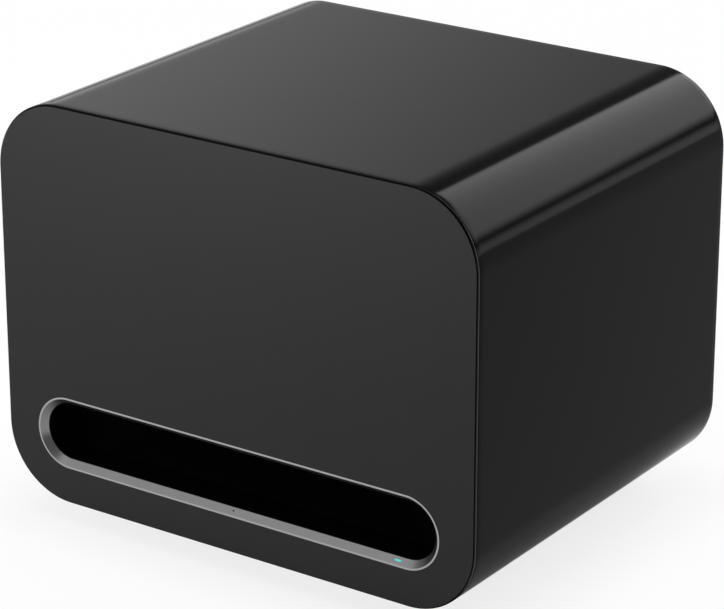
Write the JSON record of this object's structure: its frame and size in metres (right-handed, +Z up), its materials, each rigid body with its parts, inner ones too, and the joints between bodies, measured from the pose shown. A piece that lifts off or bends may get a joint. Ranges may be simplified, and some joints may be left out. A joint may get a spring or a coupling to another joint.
{
  "type": "wireless subwoofer",
  "caption": "Black box-shaped wireless subwoofer with rounded long edges, a metal-rimmed slot port in its front, a down-firing woofer and an amplifier in its back.",
  "frame": {"origin": "middle of the footprint, on the surface that the feet stand on", "axes": "+Z up; the front face with the slot points to -Y; +X is on the right seen from the front"},
  "size_m": [0.37, 0.2983, 0.292],
  "materials": {
    "cabinet_lacquer": "satin black lacquer on medium density fibreboard",
    "raw_board": "bare medium density fibreboard, painted black at the back",
    "frame_plastic": "satin black moulded plastic",
    "panel_plastic": "fine matte dark grey",
    "bezel_metal": "dark grey anodised, satin, with a brighter flat lip",
    "duct_plastic": "flocked black moulded plastic",
    "status_light": "clear light pipe, lit cyan",
    "circuit_board": "solder mask",
    "component_black": "moulded package",
    "component_metal": "plain",
    "ferrite": "sintered ferrite",
    "screw_steel": "black oxide",
    "rubber_black": "matte",
    "gasket_foam": "closed-cell foam",
    "lead_jacket": "smooth jacket",
    "cone_paper": "coated black pulp",
    "former_foil": "thin foil",
    "coil_wire": "enamelled wire",
    "spider_cloth": "resin-treated cloth",
    "plate_steel": "phosphated",
    "basket_metal": "black powder coat on a casting",
    "amp_metal": "fine textured black paint",
    "socket_plastic": "moulded black",
    "jack_metal": "nickel plated",
    "jack_insert": "moulded insulator",
    "button_plastic": "dark grey",
    "felt": "polyester wadding"
  },
  "bodies": {
    "cabinet": {"cabinet_shell": "cabinet_lacquer", "feet": "rubber_black", "foot_screws": "screw_steel", "cross_brace": "raw_board", "wadding_pads": "felt", "front_frame": "frame_plastic", "front_panel": "panel_plastic", "front_baffle": "raw_board", "port_bezel": "bezel_metal", "status_light_pipe": "status_light", "status_led": "status_light", "microphone": "component_metal", "light_mic_board": "circuit_board", "front_lead": "lead_jacket", "port_mouth": "duct_plastic", "port_funnel": "duct_plastic", "port_screws": "screw_steel", "port_bend_lower": "duct_plastic", "port_riser": "duct_plastic", "port_bend_upper": "duct_plastic", "port_outlet": "duct_plastic", "driver_mounting_ring": "raw_board", "inner_gaskets": "gasket_foam", "driver_frame": "basket_metal", "driver_screws": "screw_steel", "driver_terminals": "component_metal", "speaker_leads": "lead_jacket", "surround": "rubber_black", "spider": "spider_cloth", "top_plate": "plate_steel", "magnet": "ferrite", "pole_yoke": "plate_steel", "back_panel": "raw_board", "amp_plate": "amp_metal", "amp_gasket": "gasket_foam", "amp_screws": "screw_steel", "mains_inlet": "socket_plastic", "inlet_pins": "jack_metal", "line_jack_shells": "jack_metal", "line_jack_inserts": "jack_insert", "pair_switch": "component_black", "amp_board": "circuit_board", "board_standoffs": "socket_plastic", "power_transformer": "ferrite", "bulk_capacitors": "component_metal", "output_inductors": "ferrite", "amp_chips": "component_black", "heat_sink": "component_metal", "board_connectors": "jack_insert", "wireless_module": "component_metal", "antennas": "circuit_board", "amp_cover": "frame_plastic", "cover_screws": "screw_steel", "lead_grommets": "rubber_black"},
    "cone_assembly": {"cone": "cone_paper", "dust_cap": "cone_paper", "coil_former": "former_foil", "voice_coil": "coil_wire"},
    "pair_button": {"pair_button": "button_plastic", "switch_plunger": "component_black"}
  },
  "joints": [
    {"name": "cone_travel", "type": "slide", "parent": "cabinet", "child": "cone_assembly", "axis": [0, 0, 1], "range_m": [-0.01, 0.01], "stiffness_N_per_m": 2500, "deforming": ["surround", "spider"]},
    {"name": "pair_button_press", "type": "slide", "parent": "cabinet", "child": "pair_button", "axis": [0, -1, 0], "range_m": [0, 0.0008], "stiffness_N_per_m": 1200, "springref_m": -0.0003}
  ]
}
